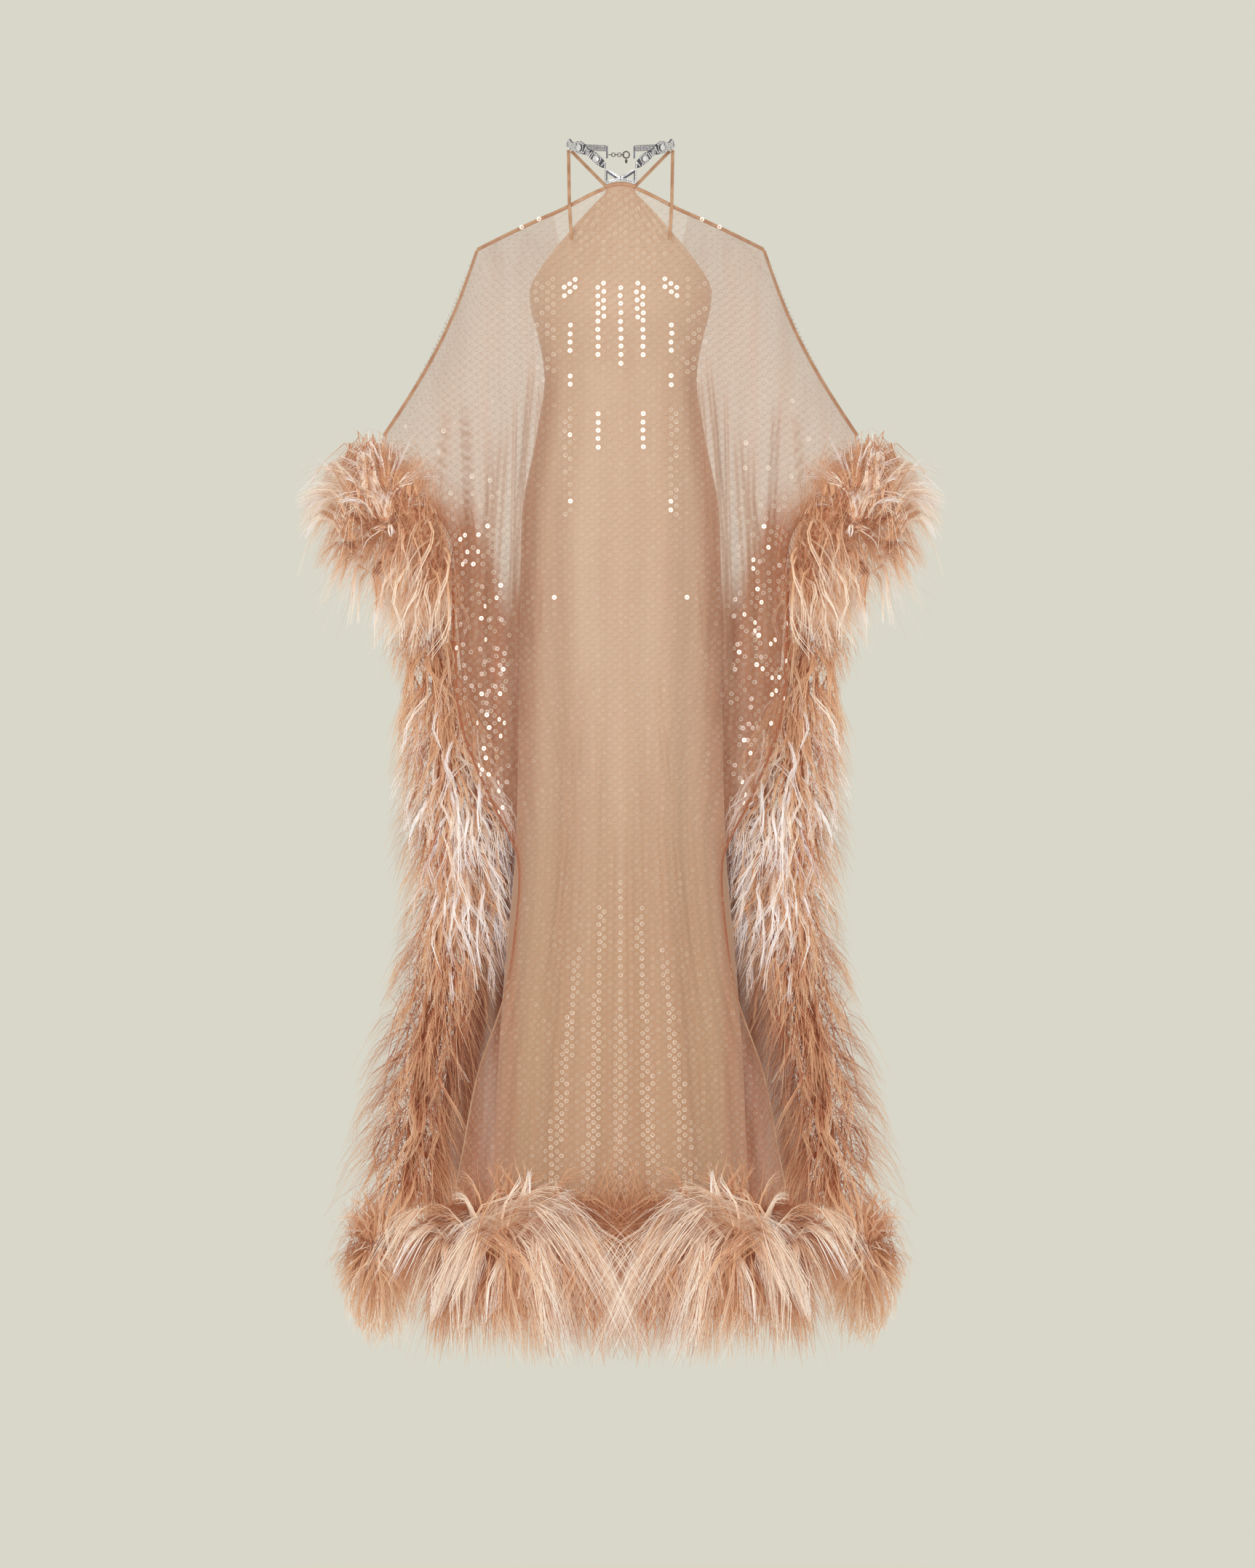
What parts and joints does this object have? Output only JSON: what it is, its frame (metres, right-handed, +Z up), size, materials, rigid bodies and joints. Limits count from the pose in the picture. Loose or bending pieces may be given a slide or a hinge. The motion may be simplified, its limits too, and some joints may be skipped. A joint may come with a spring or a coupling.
{
  "type": "kaftan gown",
  "caption": "Floor-length halter kaftan gown of sheer sequined net over a slip, with feather cuffs, sides and hem, and a crystal collar, in its worn, hollow form.",
  "frame": {"origin": "centre of the neck ring, where the crystal collar rests on the wearer's neck", "axes": "+Z up, -Y towards the front, +X to the right as seen from the front"},
  "size_m": [0.8358, 0.644, 1.5893],
  "materials": {
    "slip_cloth": "nude jersey slip, with sequins seen through the net",
    "sequin_net": "sheer blush honeycomb net with clear sequins",
    "tan_tape": "tan satin binding and ribbon",
    "feather": "blush and rose-brown feather strands",
    "crystal": "clear rhinestones in silver settings",
    "dark_metal": "dark silver chain"
  },
  "bodies": {
    "root": {"slip_back": "slip_cloth", "slip_front": "slip_cloth", "kaftan_back": "sequin_net", "kaftan_front": "sequin_net", "neck_band": "tan_tape", "neck_strap_L": "tan_tape", "neck_strap_R": "tan_tape", "shoulder_tape_L": "tan_tape", "shoulder_tape_R": "tan_tape", "side_tape_L": "tan_tape", "side_tape_R": "tan_tape", "sleeve_tape_L": "tan_tape", "sleeve_tape_R": "tan_tape", "slip_strap_L": "tan_tape", "slip_strap_R": "tan_tape", "cuff_feathers_L": "feather", "cuff_feathers_R": "feather", "hem_feathers_back_L": "feather", "hem_feathers_back_R": "feather", "hem_feathers_front_L": "feather", "hem_feathers_front_R": "feather", "side_feathers_L": "feather", "side_feathers_R": "feather", "collar_L": "crystal", "collar_R": "crystal", "collar_point": "crystal", "stone_L1": "crystal", "stone_L2": "crystal", "stone_L3": "crystal", "stone_R1": "crystal", "stone_R2": "crystal", "stone_R3": "crystal", "chain_link_1": "dark_metal", "chain_link_2": "dark_metal", "chain_link_3": "dark_metal", "chain_link_4": "dark_metal", "chain_link_5": "dark_metal", "clasp_ring": "dark_metal", "collar_bar_L": "dark_metal", "collar_bar_R": "dark_metal", "collar_drop": "dark_metal"}
  },
  "joints": []
}
